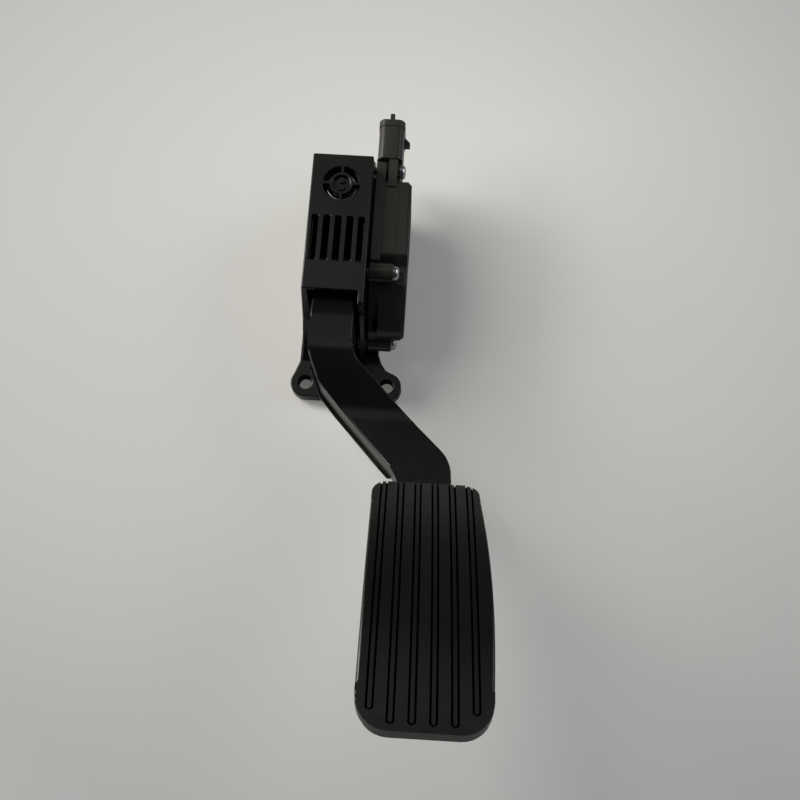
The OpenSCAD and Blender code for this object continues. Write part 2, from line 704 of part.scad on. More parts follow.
// Cup on the lever for both springs, with a peg in the lever and a short bored nose inside the springs
peg_in = 7.5;
peg_out = 3.5;
peg_bore = 2;
module spring_seat() {
    color("#3a3c40") difference() {
        union() {
            rod_y([housing_x, grille_z], seat_d - seat_t, seat_d, collar_in_r + 0.4);
            rod_y([housing_x, grille_z], seat_d - peg_in, seat_d + peg_out, peg_r);
        }
        rod_y([housing_x, grille_z], seat_d + peg_out - peg_bore, seat_d + peg_out + eps, peg_r - 1.2);
    }
}

// Wire wound about the Y axis: a closed sweep with flattened pitch at both ends
wire_sides = 8;
turn_steps = 20;
function coil_rise(t, turns) = t < 1 ? 0.12 * t : t > turns + 1 ? 0.76 + 0.12 * (t - turns - 1) + 0.12
    : 0.12 + 0.76 * (t - 1) / turns;
module coil(r, wire, turns, d0, d1) {
    steps = (turns + 2) * turn_steps;
    span = d1 - d0 - wire;
    pts = [for (i = [0 : steps])
        let (t = i / turn_steps, a = 360 * t, rise = wire / 2 + span * coil_rise(t, turns))
        each [for (j = [0 : wire_sides - 1])
            let (b = 360 * j / wire_sides, q = r + wire / 2 * cos(b))
            [q * cos(a), q * sin(a), rise + wire / 2 * sin(b)]]];
    side = [for (i = [0 : steps - 1]) for (j = [0 : wire_sides - 1])
        let (k = (j + 1) % wire_sides)
        [i * wire_sides + j, (i + 1) * wire_sides + j, (i + 1) * wire_sides + k, i * wire_sides + k]];
    first = [for (j = [0 : wire_sides - 1]) j];
    last = [for (j = [wire_sides - 1 : -1 : 0]) steps * wire_sides + j];
    translate([housing_x, -d0, grille_z]) rotate([90, 0, 0])
        polyhedron(points = pts, faces = concat(side, [first], [last]));
}

module outer_spring() {
    color("#9a9da1") coil(outer_spring_r, outer_wire, outer_turns - 1, seat_d, front_in_d);
}

module inner_spring() {
    color("#9a9da1") coil(inner_spring_r, inner_wire, inner_turns - 1, seat_d, front_in_d);
}

// Friction pair: a lining under the roof and a shoe on the lever's end, both curved about the pivot
lining_t = 2.2;
shoe_t = 5;
lining_r = roof_z - wall - pivot_z - lining_t;
module friction_sector(r0, r1, a0, a1, w) {
    intersection() {
        difference() {
            rod_x(PIVOT, housing_x - w / 2, housing_x + w / 2, r1);
            rod_x(PIVOT, housing_x - w / 2 - 1, housing_x + w / 2 + 1, r0);
        }
        along_x(housing_x - w / 2 - 1, housing_x + w / 2 + 1)
            polygon([[-pivot_d, pivot_z], [-pivot_d - 2 * r1 * sin(a0), pivot_z + 2 * r1 * cos(a0)],
                     [-pivot_d - 2 * r1 * sin(a1), pivot_z + 2 * r1 * cos(a1)]]);
    }
}

module friction_lining() {
    color("#6b5f50") intersection() {
        friction_sector(lining_r, lining_r + 4 * lining_t, -20, 14, lever_w);
        block([left_x, base_t, pivot_z], [right_x, front_in_d, roof_z - wall]);
    }
}

module friction_shoe() {
    color("#4b4037") difference() {
        friction_sector(lining_r - shoe_t, lining_r - rest_gap, -18, -3, lever_w - 2);
        along_x(housing_x - lever_w, housing_x + lever_w) polygon(rounded(LEVER));
    }
}

// Point [depth, height] of a moving piece after the pedal has turned by a degrees
function turned(p, a) =
    let (d = p[0] - pivot_d, z = p[1] - pivot_z)
    [pivot_d + d * cos(a) + z * sin(a), pivot_z + z * cos(a) - d * sin(a)];

// Depth of the lower buffer's end: the arm's rear comes down on its lower edge at full travel
REAR_LOW = turned([-ARM_REAR[4][0], ARM_REAR[4][1]], travel);
REAR_HIGH = turned([-ARM_REAR[5][0], ARM_REAR[5][1]], travel);
travel_stop_d = REAR_LOW[0] - rest_gap
    + (REAR_HIGH[0] - REAR_LOW[0]) * (STOP_LOW[1] - stop_r - REAR_LOW[1]) / (REAR_HIGH[1] - REAR_LOW[1]);

// Rubber buffers on the base: the lever rests on the upper one, the pressed arm meets the lower one
module buffer(at, top_d) {
    rod_y(at, base_t - stop_sink, base_t + eps, stop_r - stop_rim);
    rod_y(at, base_t, top_d - stop_rim, stop_r);
    rod_y(at, base_t, top_d, stop_r - stop_rim);
}

module idle_stop() {
    color("#101112") buffer(STOP_IDLE, lever_rear_d - rest_gap);
}

module travel_stop() {
    color("#101112") buffer(STOP_LOW, travel_stop_d);
}

// Sensor outline seen from the right, as (Y, Z)
MID = SENSOR_SCREWS[1];
LOW = SENSOR_SCREWS[2];
flange_rear_d = base_t + 1.5;
body_front_d = flange_front_d - 1.2;
body_rear_d = base_t + 3;
FLANGE = [[-flange_front_d, MID[1] + 5.4, 1], [-MID[0] + 2, MID[1] + 3.4, 2], [-MID[0] + 2, MID[1] - 4, 3],
          [-LOW[0] - 9, LOW[1] + 0.7, 8], [-LOW[0] + 5, LOW[1] - 3.3, 4], [-flange_rear_d, LOW[1] + 4.7, 4],
          [-flange_rear_d, flange_top_z - 3, 5], [-flange_rear_d - 7.5, flange_top_z, 5],
          [-flange_front_d + 1.6, flange_top_z, 2], [-flange_front_d, flange_top_z - 2, 1]];
BODY = [[-body_front_d, MID[1] + 9, 2], [-MID[0] + 4, MID[1] + 5.4, 3], [-MID[0] + 4, MID[1] - 4, 4],
        [-LOW[0] - 13, cover_low_z, 10], [-LOW[0] + 1, cover_low_z, 10], [-body_rear_d, cover_low_z + 15.6, 10],
        [-body_rear_d, cover_top_z - 8, 8], [-body_rear_d - 6, cover_top_z, 6], [-body_front_d, cover_top_z, 2]];

module sensor_outline(pts, d = 0) {
    polygon(rounded(inset(pts, d)));
}

chamber_wall = 2.4;
CONN_X = flange_x + conn_w / 2 + 0.2;
CONN_D = conn_front_d - conn_len / 2;
CONN = [[-conn_w / 2, -conn_len / 2, 3], [conn_w / 2, -conn_len / 2, 3],
        [conn_w / 2, conn_len / 2, 3], [-conn_w / 2, conn_len / 2, 3]];
conn_floor_z = conn_low_z + 3;
pin_w = 0.8;
pin_low_z = cover_top_z - 8;
board_t = 1.2;
board_x = cover_x - 2 * board_t;

module conn_prism(z0, z1, d) {
    translate([CONN_X, -CONN_D, z0]) linear_extrude(z1 - z0) polygon(rounded(inset(CONN, d)));
}

// Contact pins: six blades that draw together below the shell, to pass behind the upper screw,
// and then turn towards the board
fan_low_z = SENSOR_SCREWS[0][1] + 2;
fan_top_z = conn_floor_z - 1;
module pins(g = 0) {
    h = pin_w / 2 + g;
    first_d = CONN_D - (pin_n - 1) / 2 * pin_pitch;
    for (i = [0 : pin_n - 1]) {
        d = first_d + i * pin_pitch;
        e = first_d + i * pin_pitch * 0.6;
        block([CONN_X - h, d - h, fan_top_z], [CONN_X + h, d + h, conn_top_z - 5]);
        block([CONN_X - h, e - h, pin_low_z - g], [CONN_X + h, e + h, fan_low_z]);
        along_x(CONN_X - h, CONN_X + h)
            polygon([[-e - h, fan_low_z], [-e + h, fan_low_z], [-d + h, fan_top_z], [-d - h, fan_top_z]]);
        block([CONN_X - h, e - h, pin_low_z - g], [board_x + board_t * 1.5, e + h, pin_low_z + pin_w + g]);
    }
}

board_low_z = 40;
board_top_z = cover_top_z - 5;
post_d = 11;
post_up = 23;
post_down = 9;
POSTS = [[pivot_d + post_d + 2, pivot_z + post_up], [pivot_d - post_d, pivot_z + post_up],
         [pivot_d + post_d - 1, pivot_z - post_down], [pivot_d - post_d + 1, pivot_z - post_down]];

// Ramp on the right of the connector shell that the plug's catch snaps over, and a tab on its front rim
LATCH_X = CONN_X + conn_w / 2;
latch_w = 4.8;
latch_rise = 2.9;
latch_top_z = conn_top_z - 3;
latch_low_z = conn_top_z - 7.2;
neck_w = 18;
neck_in = 1.2;
slot_in = 1.8;
post_r = 1.8;
tab_w = 2.2;
module connector_latch() {
    along_y(CONN_D - latch_w / 2, CONN_D + latch_w / 2)
        polygon([[LATCH_X - 1, latch_top_z], [LATCH_X + 0.4, latch_top_z - 0.6],
                 [LATCH_X + latch_rise, latch_low_z + 0.8], [LATCH_X + latch_rise, latch_low_z],
                 [LATCH_X - 1, latch_low_z]]);
    block([CONN_X - tab_w / 2, conn_front_d - 2, conn_top_z - 1],
          [CONN_X + tab_w / 2, conn_front_d - 0.6, conn_top_z + 3.6]);
}

module sensor_body() {
    color("#26272a") difference() {
        union() {
            along_x(flange_x, body_x) sensor_outline(FLANGE);
            along_x(body_x, cover_x) sensor_outline(BODY);
            for (s = SENSOR_SCREWS) rod_x(s, flange_x, cover_x, boss_r);
            conn_prism(conn_low_z, conn_top_z, 0);
            conn_prism(conn_top_z - 3.6, conn_top_z - 0.4, -0.35);
            connector_latch();
            block([body_x + neck_in, CONN_D - neck_w / 2, cover_top_z - 4],
                  [cover_x - neck_in, body_front_d + 0.6, conn_low_z + 1]);
            block([flange_x, CONN_D - neck_w / 2, flange_top_z - 4], [cover_x, CONN_D + neck_w / 2, conn_low_z + 1]);
        }
        for (x = [body_x, cover_x - neck_in])
            block([x, body_front_d - slot_in, cover_top_z - 2], [x + neck_in, flange_front_d + 1, flange_top_z - 5]);
        difference() {
            along_x(chamber_x, cover_x + eps) sensor_outline(BODY, chamber_wall);
            for (p = POSTS) rod_x(p, chamber_x - eps, board_x, post_r);
            for (s = SENSOR_SCREWS) rod_x(s, chamber_x - eps, cover_x + 2 * eps, boss_r);
        }
        rod_x(PIVOT, flange_x - eps, chamber_x + eps, bush_boss_r + seat_gap);
        for (s = SENSOR_SCREWS) rod_x(s, flange_x - eps, cover_x + eps, screw_d / 2 + 0.4);
        conn_prism(conn_floor_z, conn_top_z + eps, conn_wall);
        pins(seat_gap);
    }
}

// Flat gasket between the housing's wall and the flange
SEAL = [[-flange_front_d + 2.4, 52, 2], [-flange_front_d + 9, 46, 3], [-34, 33, 6], [-22, 27, 5],
        [-base_t - 4, 27, 3], [-base_t - 4, roof_z - 3, 3], [-flange_front_d + 2.4, roof_z - 3, 3]];
seal_w = 2.2;
module sensor_seal() {
    color("#0d0e0f") along_x(right_x, flange_x) difference() {
        sensor_outline(SEAL);
        sensor_outline(SEAL, seal_w);
    }
}

cover_step = 0.7;
cover_skin = 2;
module sensor_cover() {
    color("#2a2b2e") difference() {
        union() {
            along_x(cover_x, cover_out_x - 2 * cover_step) sensor_outline(BODY, 0.3);
            along_x(cover_x, cover_out_x - cover_step) sensor_outline(BODY, 0.3 + cover_step);
            along_x(cover_x, cover_out_x) sensor_outline(BODY, 0.3 + 2 * cover_step);
        }
        for (s = SENSOR_SCREWS) rod_x(s, cover_x - eps, cover_out_x + eps, boss_r + 0.5);
        along_x(cover_x - eps, cover_out_x - cover_skin) sensor_outline(BODY, chamber_wall + 1);
    }
}

module circuit_board() {
    color("#1f5a36") difference() {
        along_x(board_x, board_x + board_t) intersection() {
            sensor_outline(BODY, chamber_wall + 0.4);
            translate([-flange_front_d, board_low_z]) square([flange_front_d, board_top_z - board_low_z]);
        }
        pins(seat_gap);
    }
}

chip_w = 4;
chip_t = 1.2;
module sensor_chip() {
    color("#111214") for (dz = [-chip_w * 0.75, chip_w * 0.75])
        block([board_x - chip_t, pivot_d - chip_w / 2, pivot_z + dz - chip_w / 2],
              [board_x, pivot_d + chip_w / 2, pivot_z + dz + chip_w / 2]);
}

// Rotor on the shaft's end, with a ring magnet let into its face
rotor_r = shaft_r * 2.25;
magnet_r = shaft_r * 1.875;
magnet_in_r = shaft_r * 1.3;
magnet_t = 2;
rotor_in_x = chamber_x + 0.6;
magnet_in_x = rotor_in_x + 2.2;
module rotor() {
    color("#d8d4c8") difference() {
        rod_x(PIVOT, rotor_in_x, magnet_in_x + magnet_t * 0.8, rotor_r);
        rod_x(PIVOT, chamber_x - eps, shaft_right_x + seat_gap, shaft_r + seat_gap);
        difference() {
            rod_x(PIVOT, magnet_in_x, magnet_in_x + magnet_t, magnet_r + seat_gap);
            rod_x(PIVOT, magnet_in_x - eps, magnet_in_x + magnet_t + eps, magnet_in_r - seat_gap);
        }
    }
}

module rotor_magnet() {
    color("#4a4d52") difference() {
        rod_x(PIVOT, magnet_in_x, magnet_in_x + magnet_t, magnet_r);
        rod_x(PIVOT, magnet_in_x - eps, magnet_in_x + magnet_t + eps, magnet_in_r);
    }
}

module connector_pins() {
    color("#c8a860") pins();
}

// Pan-head screws, each with a recess for the driver
head_rim = 0.8;
recess_r = 1.3;
recess_depth = 1.4;
module sensor_screws() {
    color("#c4c7cb") for (i = [0 : 2]) let (s = SENSOR_SCREWS[i]) difference() {
        union() {
            rod_x(s, cover_x, cover_x + head_t - head_rim, screw_head_d / 2);
            rod_x(s, cover_x, cover_x + head_t, screw_head_d / 2 - head_rim);
            rod_x(s, cover_x - SCREW_REACH[i], cover_x + head_rim, screw_d / 2);
        }
        translate([cover_x + head_t - recess_depth, -s[0], s[1]]) rotate([0, 90, 0])
            cylinder(h = recess_depth + eps, r = recess_r, $fn = 6);
    }
}

housing();
left_bush();
right_bush();
friction_lining();
idle_stop();
travel_stop();
pedal_arm();
pivot_shaft();
shaft_clip();
friction_shoe();
spring_seat();
outer_spring();
inner_spring();
pad_cover();
sensor_seal();
sensor_body();
sensor_cover();
circuit_board();
sensor_chip();
rotor();
rotor_magnet();
connector_pins();
sensor_screws();
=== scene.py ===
import json
import math

import bmesh
import bpy
from mathutils import Matrix, Vector
from mathutils.bvhtree import BVHTree
from mathutils.kdtree import KDTree


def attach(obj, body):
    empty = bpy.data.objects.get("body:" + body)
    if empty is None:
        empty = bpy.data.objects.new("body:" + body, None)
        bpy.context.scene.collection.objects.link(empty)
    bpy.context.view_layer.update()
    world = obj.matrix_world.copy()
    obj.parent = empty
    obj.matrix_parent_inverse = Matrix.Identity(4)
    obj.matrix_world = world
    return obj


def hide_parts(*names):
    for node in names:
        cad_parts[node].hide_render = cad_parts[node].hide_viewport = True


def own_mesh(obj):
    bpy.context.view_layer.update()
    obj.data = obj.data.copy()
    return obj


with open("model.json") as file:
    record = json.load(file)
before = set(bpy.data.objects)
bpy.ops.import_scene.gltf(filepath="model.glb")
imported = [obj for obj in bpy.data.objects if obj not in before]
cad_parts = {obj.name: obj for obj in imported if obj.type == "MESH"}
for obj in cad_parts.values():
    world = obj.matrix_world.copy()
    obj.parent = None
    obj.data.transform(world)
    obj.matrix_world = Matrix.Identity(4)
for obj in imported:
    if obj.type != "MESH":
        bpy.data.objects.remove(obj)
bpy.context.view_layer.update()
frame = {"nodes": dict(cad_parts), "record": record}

# Camera
# The pedal is seen from the front and below, with the camera turned a little about its own axis.
camera_place = Vector((0.0342, -0.429, -0.1272))
look_up = math.radians(16)
roll = math.radians(3.4)
right = Vector((math.cos(roll), 0, math.sin(roll)))
ahead = Vector((-math.sin(look_up) * math.sin(roll), math.cos(look_up), math.sin(look_up) * math.cos(roll)))
up = right.cross(ahead)
camera = bpy.data.objects.new("camera", bpy.data.cameras.new("camera"))
bpy.context.scene.collection.objects.link(camera)
camera.data.sensor_width = 36
camera.data.lens = 40.5
camera.data.clip_start = 0.01
camera.matrix_world = Matrix.Translation(camera_place) @ Matrix((right, up, -ahead)).transposed().to_4x4()
bpy.context.scene.camera = camera
bpy.context.scene.view_settings.view_transform = "Standard"

# Backdrop
# A pale table top behind the mounting face, lighter near the pedal and a little darker away from it: a
# painted pool of light.
# It shows from the front only, so that the back of the pedal stays in view.
clear_of_mount = 0.0004
mirror_share = 0.35
own_glow = 0.12
bpy.ops.object.select_all(action="DESELECT")
bpy.ops.mesh.primitive_plane_add(size=6, location=(0, clear_of_mount, 0), rotation=(math.radians(90), 0, 0))
backdrop = bpy.context.object
backdrop.name = "backdrop"
bpy.ops.object.transform_apply(location=True, rotation=True, scale=True)

table_top = bpy.data.materials.new("table_top")
table_top.use_nodes = True
tree = table_top.node_tree
paint = tree.nodes["Principled BSDF"]
paint.inputs["Roughness"].default_value = 0.6
paint.inputs["Specular IOR Level"].default_value = 0.2
place = tree.nodes.new("ShaderNodeTexCoord")
away = tree.nodes.new("ShaderNodeVectorMath")
away.operation = "DISTANCE"
away.inputs[1].default_value = (0.055, 0, 0.07)
pool_falloff = tree.nodes.new("ShaderNodeMapRange")
pool_falloff.inputs["From Min"].default_value = 0.30
pool_falloff.inputs["From Max"].default_value = 0.08
painted_pool_tone = tree.nodes.new("ShaderNodeMix")
painted_pool_tone.data_type = "RGBA"
painted_pool_tone.inputs["A"].default_value = (0.62, 0.63, 0.62, 1)
painted_pool_tone.inputs["B"].default_value = (0.92, 0.91, 0.87, 1)
# The camera sees the pale tone with its painted pool of light, glowing a little; mirrors see a share of it,
# and all other light leaves a greyer top.
seen = tree.nodes.new("ShaderNodeLightPath")
mirrored = tree.nodes.new("ShaderNodeMath")
mirrored.operation = "MAXIMUM"
dimmed = tree.nodes.new("ShaderNodeMath")
dimmed.operation = "MULTIPLY"
dimmed.inputs[1].default_value = mirror_share
paled = tree.nodes.new("ShaderNodeMix")
paled.data_type = "RGBA"
paled.inputs["A"].default_value = (0.45, 0.45, 0.44, 1)
lifted = tree.nodes.new("ShaderNodeMath")
lifted.operation = "MULTIPLY"
lifted.inputs[1].default_value = own_glow
clear = tree.nodes.new("ShaderNodeBsdfTransparent")
side = tree.nodes.new("ShaderNodeNewGeometry")
mix = tree.nodes.new("ShaderNodeMixShader")
tree.links.new(place.outputs["Object"], away.inputs[0])
tree.links.new(away.outputs["Value"], pool_falloff.inputs["Value"])
tree.links.new(pool_falloff.outputs["Result"], painted_pool_tone.inputs["Factor"])
tree.links.new(seen.outputs["Is Camera Ray"], mirrored.inputs[0])
tree.links.new(seen.outputs["Is Glossy Ray"], dimmed.inputs[0])
tree.links.new(dimmed.outputs["Value"], mirrored.inputs[1])
tree.links.new(mirrored.outputs["Value"], paled.inputs["Factor"])
tree.links.new(painted_pool_tone.outputs["Result"], paled.inputs["B"])
tree.links.new(paled.outputs["Result"], paint.inputs["Base Color"])
tree.links.new(painted_pool_tone.outputs["Result"], paint.inputs["Emission Color"])
tree.links.new(lifted.outputs["Value"], paint.inputs["Emission Strength"])
tree.links.new(seen.outputs["Is Camera Ray"], lifted.inputs[0])
tree.links.new(side.outputs["Backfacing"], mix.inputs["Fac"])
tree.links.new(paint.outputs["BSDF"], mix.inputs[1])
tree.links.new(clear.outputs["BSDF"], mix.inputs[2])
tree.links.new(mix.outputs["Shader"], tree.nodes["Material Output"].inputs["Surface"])
backdrop.data.materials.append(table_top)

# Light
# A wide window high on the left with a pale wall below it, a weak cool one on the right, a soft glow from
# the front and the ceiling, and two panels behind that light the back. The room itself is dim.
world = bpy.data.worlds.new("room")
bpy.context.scene.world = world
world.use_nodes = True
room = world.node_tree.nodes["Background"]
seen = world.node_tree.nodes.new("ShaderNodeLightPath")
shade = world.node_tree.nodes.new("ShaderNodeMix")
shade.data_type = "RGBA"
shade.inputs["A"].default_value = (0.022, 0.023, 0.024, 1)
shade.inputs["B"].default_value = (0.62, 0.62, 0.61, 1)
world.node_tree.links.new(seen.outputs["Is Camera Ray"], shade.inputs["Factor"])
world.node_tree.links.new(shade.outputs["Result"], room.inputs["Color"])


def lamp(name, azimuth, elevation, away, width, height, glow, colour):
    # A panel that faces the pedal. Azimuth 0 is straight in front of it and grows to its right, and glow
    # is the panel's brightness.
    light = bpy.data.lights.new(name, "AREA")
    light.shape = "RECTANGLE"
    light.size = width
    light.size_y = height
    light.energy = glow * math.pi * width * height
    light.color = colour
    holder = bpy.data.objects.new(name, light)
    bpy.context.scene.collection.objects.link(holder)
    turn = math.radians(azimuth)
    rise = math.radians(elevation)
    way = Vector((math.sin(turn) * math.cos(rise), -math.cos(turn) * math.cos(rise), math.sin(rise)))
    aim = Vector((0.02, -0.05, -0.02))
    facing = (-way).to_track_quat("-Z", "Y").to_matrix().to_4x4()
    holder.matrix_world = Matrix.Translation(aim + way * away) @ facing


lamp("window", -46, 24, 2.0, 1.3, 0.66, 6.4, (1.0, 0.97, 0.92))
lamp("left_wall", -74, 8, 2.0, 1.4, 1.6, 4.2, (1.0, 0.98, 0.96))
lamp("front", -6, 23, 2.2, 1.2, 0.45, 0.30, (1.0, 1.0, 0.94))
lamp("front_soft", -6, 23, 2.2, 1.3, 1.25, 0.22, (1.0, 1.0, 0.94))
lamp("fill", 56, 16, 2.0, 1.2, 1.3, 1.7, (0.86, 0.95, 1.0))
lamp("ceiling", -10, 88, 1.8, 1.6, 0.7, 0.24, (1.0, 0.99, 0.96))
lamp("behind", 150, 30, 2.2, 1.6, 1.2, 4.5, (1.0, 1.0, 1.0))
lamp("behind_left", 215, 10, 2.2, 1.6, 1.6, 2.5, (1.0, 0.98, 0.95))

# Housing
# One moulding of glass-filled black plastic, screwed to the bracket by its three ears: the box round the
# lever, its base and the grille. It copies the solid and gets the small edge radii that a tool leaves.


def from_solid(node, name):
    # A copy of a CAD solid, merged, with its flat faces laid out afresh.
    merge = 0.00003
    bpy.ops.object.select_all(action="DESELECT")
    piece = bpy.data.objects.new(name, frame["nodes"][node].data.copy())
    bpy.context.scene.collection.objects.link(piece)
    bpy.context.view_layer.objects.active = piece
    piece.select_set(True)
    bpy.ops.object.mode_set(mode="EDIT")
    bpy.ops.mesh.select_all(action="SELECT")
    bpy.ops.mesh.remove_doubles(threshold=merge)
    bpy.ops.mesh.dissolve_degenerate(threshold=merge)
    bpy.ops.mesh.dissolve_limited(angle_limit=math.radians(0.05))
    bpy.ops.mesh.quads_convert_to_tris(quad_method="BEAUTY", ngon_method="BEAUTY")
    bpy.ops.object.mode_set(mode="OBJECT")
    piece.data.materials.clear()
    return piece


def face_room(surface, edge, side):
    # How far the face beside an edge reaches before another edge or wall meets it.
    middle = (edge.verts[0].co + edge.verts[1].co) / 2
    inward = (edge.verts[1].co - edge.verts[0].co).normalized().cross(side.normal)
    if inward.dot(side.calc_center_median() - middle) < 0:
        inward = -inward
    start = middle + inward * 0.00003
    reach = 0.01
    for lift in (-0.00002, 0.00002):
        spot, out, index, gap = surface.ray_cast(start + side.normal * lift, inward, reach)
        if spot is not None:
            reach = min(reach, gap)
    return reach


def looks_across(surface, edge, slit):
    # Whether a wall stands close in front of one of an edge's faces, as at a narrow slit.
    just_off = 0.0001
    middle = (edge.verts[0].co + edge.verts[1].co) / 2
    first, second = edge.link_faces
    for side, other in ((first, second), (second, first)):
        start = middle + side.normal * just_off - other.normal * just_off
        if surface.ray_cast(start, side.normal, slit)[0] is not None:
            return True
    return False


def round_edges(piece, width, segments=2, limit=32, share=None, slit=0.0, passes=8):
    # Rounds the outer edges. Each gets the full width, a half or a quarter, as its faces have room, and
    # an edge where the rounding would fold over stays sharp. So do edges that look across a narrow slit.
    room_needed = 2.4
    plain = piece.data.copy()
    shape = bmesh.new()
    shape.from_mesh(plain)
    shape.edges.ensure_lookup_table()
    surface = BVHTree.FromBMesh(shape)
    weight = {}
    for edge in shape.edges:
        if len(edge.link_faces) != 2 or edge.calc_face_angle_signed(0) < math.radians(limit):
            continue
        free = min(face_room(surface, edge, side) for side in edge.link_faces)
        if slit and looks_across(surface, edge, slit):
            continue
        middle = (edge.verts[0].co + edge.verts[1].co) / 2
        wanted = share(middle) if share else 1.0
        for part in (1.0, 0.5, 0.25):
            if part <= wanted and free > room_needed * part * width:
                weight[edge.index] = part
                break
    for turn in range(passes):
        trial = plain.copy()
        marks = trial.attributes.new("bevel_weight_edge", "FLOAT", "EDGE")
        for index, part in weight.items():
            marks.data[index].value = part
        piece.data = trial
        bpy.ops.object.select_all(action="DESELECT")
        bpy.context.view_layer.objects.active = piece
        piece.select_set(True)
        bpy.ops.object.shade_smooth_by_angle(angle=math.radians(limit))
        rounding = piece.modifiers.new("rounding", "BEVEL")
        rounding.width = width
        rounding.segments = segments
        rounding.limit_method = "WEIGHT"
        rounding.use_clamp_overlap = False
        rounding.loop_slide = False
        rounding.miter_outer = "MITER_ARC"
        bpy.ops.object.modifier_apply(modifier="rounding")
        folded = folds(piece.data, surface, width)
        if not folded:
            break
        near = KDTree(len(folded))
        for index, corner in enumerate(folded):
            near.insert(corner, index)
        near.balance()
        # Each pass clears the edges round a fold a little farther out.
        cleared = 1.8 + 0.5 * turn
        for index, part in weight.items():
            gap = min(near.find(vert.co)[2] for vert in shape.edges[index].verts)
            if gap < cleared * width * part:
                weight[index] = 0.0
    shape.free()
    settle_normals(piece.data, surface, math.cos(math.radians(limit)))


def settle_normals(mesh, surface, alike):
    # Old faces keep their own shading right up to the rounding, which turns smoothly from one to the next.
    on_surface = 0.00003
    same_way = 0.9985
    least_alike = 0.4
    alike_on_round = 0.6
    rounded = bmesh.new()
    rounded.from_mesh(mesh)
    rounded.faces.ensure_lookup_table()
    kept = set()
    for face in rounded.faces:
        spot, out, index, gap = surface.find_nearest(face.calc_center_median())
        if gap < on_surface and out.dot(face.normal) > same_way:
            kept.add(face.index)
    normals = []
    for face in rounded.faces:
        for loop in face.loops:
            near = [other for other in loop.vert.link_loops if other.face.index in kept]
            aim = face.normal
            if near and face.index not in kept:
                best = max(near, key=lambda other: other.face.normal.dot(aim))
                if best.face.normal.dot(aim) > least_alike:
                    aim = best.face.normal
                else:
                    near = []
            level = alike
            if not near:
                near = loop.vert.link_loops
                level = alike_on_round
            total = Vector((0, 0, 0))
            for other in near:
                if other.face.normal.dot(aim) > level:
                    total += other.face.normal * other.calc_angle()
            normals.append(total.normalized() if total.length > 1e-9 else face.normal.copy())
    rounded.free()
    for face in mesh.polygons:
        face.use_smooth = True
    mesh.normals_split_custom_set(normals)


def folds(mesh, surface, width):
    # The corners of the triangles that lie on the old surface but face the wrong way, and the places
    # from which a corner has shot out.
    on_surface = 0.00002
    mesh.calc_loop_triangles()
    corners = []
    for vert in mesh.vertices:
        spot, out, index, gap = surface.find_nearest(vert.co)
        if gap > width:
            corners.append(spot.copy())
    for triangle in mesh.loop_triangles:
        a, b, c = (mesh.vertices[i].co for i in triangle.vertices)
        normal = (b - a).cross(c - a)
        if normal.length > 1e-10:
            spot, out, index, gap = surface.find_nearest((a + b + c) / 3)
            if gap < on_surface and out.dot(normal) < -0.5 * normal.length:
                corners += [a.copy(), b.copy(), c.copy()]
    return corners


def new_group(name, inputs, outputs):
    group = bpy.data.node_groups.new(name, "ShaderNodeTree")
    for label, value in inputs:
        socket = group.interface.new_socket(label, in_out="INPUT", socket_type="NodeSocketFloat")
        socket.default_value = value
    for label in outputs:
        group.interface.new_socket(label, in_out="OUTPUT", socket_type="NodeSocketFloat")
    return group, group.nodes.new("NodeGroupInput"), group.nodes.new("NodeGroupOutput")


def noise_of(group, size, detail, place):
    # A noise whose patches are as large as the size that comes in.
    scale = group.nodes.new("ShaderNodeMath")
    scale.operation = "DIVIDE"
    scale.inputs[0].default_value = 1.0
    noise = group.nodes.new("ShaderNodeTexNoise")
    noise.inputs["Detail"].default_value = detail
    group.links.new(size, scale.inputs[1])
    group.links.new(scale.outputs[0], noise.inputs["Scale"])
    group.links.new(place, noise.inputs["Vector"])
    return noise.outputs["Fac"]


def stretch(group, value, low, high):
    ramp = group.nodes.new("ShaderNodeMapRange")
    ramp.interpolation_type = "SMOOTHSTEP"
    ramp.inputs["From Min"].default_value = low
    ramp.inputs["From Max"].default_value = high
    group.links.new(value, ramp.inputs["Value"])
    return ramp.outputs["Result"]


def product(group, first, second):
    both = group.nodes.new("ShaderNodeMath")
    both.operation = "MULTIPLY"
    both.use_clamp = True
    group.links.new(first, both.inputs[0])
    group.links.new(second, both.inputs[1])
    return both.outputs[0]


# Fine tool grain as a height, and slow clouding of the surface as a mask.
moulded_grain, inside, outside = new_group(
    "moulded_grain", (("Grain Size", 0.0005), ("Cloud Size", 0.03)), ("Height", "Cloud")
)
place = moulded_grain.nodes.new("ShaderNodeTexCoord").outputs["Object"]
fine = noise_of(moulded_grain, inside.outputs["Grain Size"], 3.0, place)
slow = noise_of(moulded_grain, inside.outputs["Cloud Size"], 2.0, place)
moulded_grain.links.new(fine, outside.inputs["Height"])
moulded_grain.links.new(stretch(moulded_grain, slow, 0.3, 0.7), outside.inputs["Cloud"])

# Handling wear and a painted edge highlight: a mask that is strong on outer edges and broken up in patches,
# where the colour is made lighter.
edge_wear_and_highlight, inside, outside = new_group("edge_wear_and_highlight", (("Amount", 0.5), ("Patch Size", 0.004)), ("Mask",))
place = edge_wear_and_highlight.nodes.new("ShaderNodeTexCoord").outputs["Object"]
crest = stretch(edge_wear_and_highlight, edge_wear_and_highlight.nodes.new("ShaderNodeNewGeometry").outputs["Pointiness"], 0.53, 0.66)
patches = stretch(edge_wear_and_highlight, noise_of(edge_wear_and_highlight, inside.outputs["Patch Size"], 4.0, place), 0.42, 0.62)
worn_and_lit = product(edge_wear_and_highlight, product(edge_wear_and_highlight, crest, patches), inside.outputs["Amount"])
edge_wear_and_highlight.links.new(worn_and_lit, outside.inputs["Mask"])

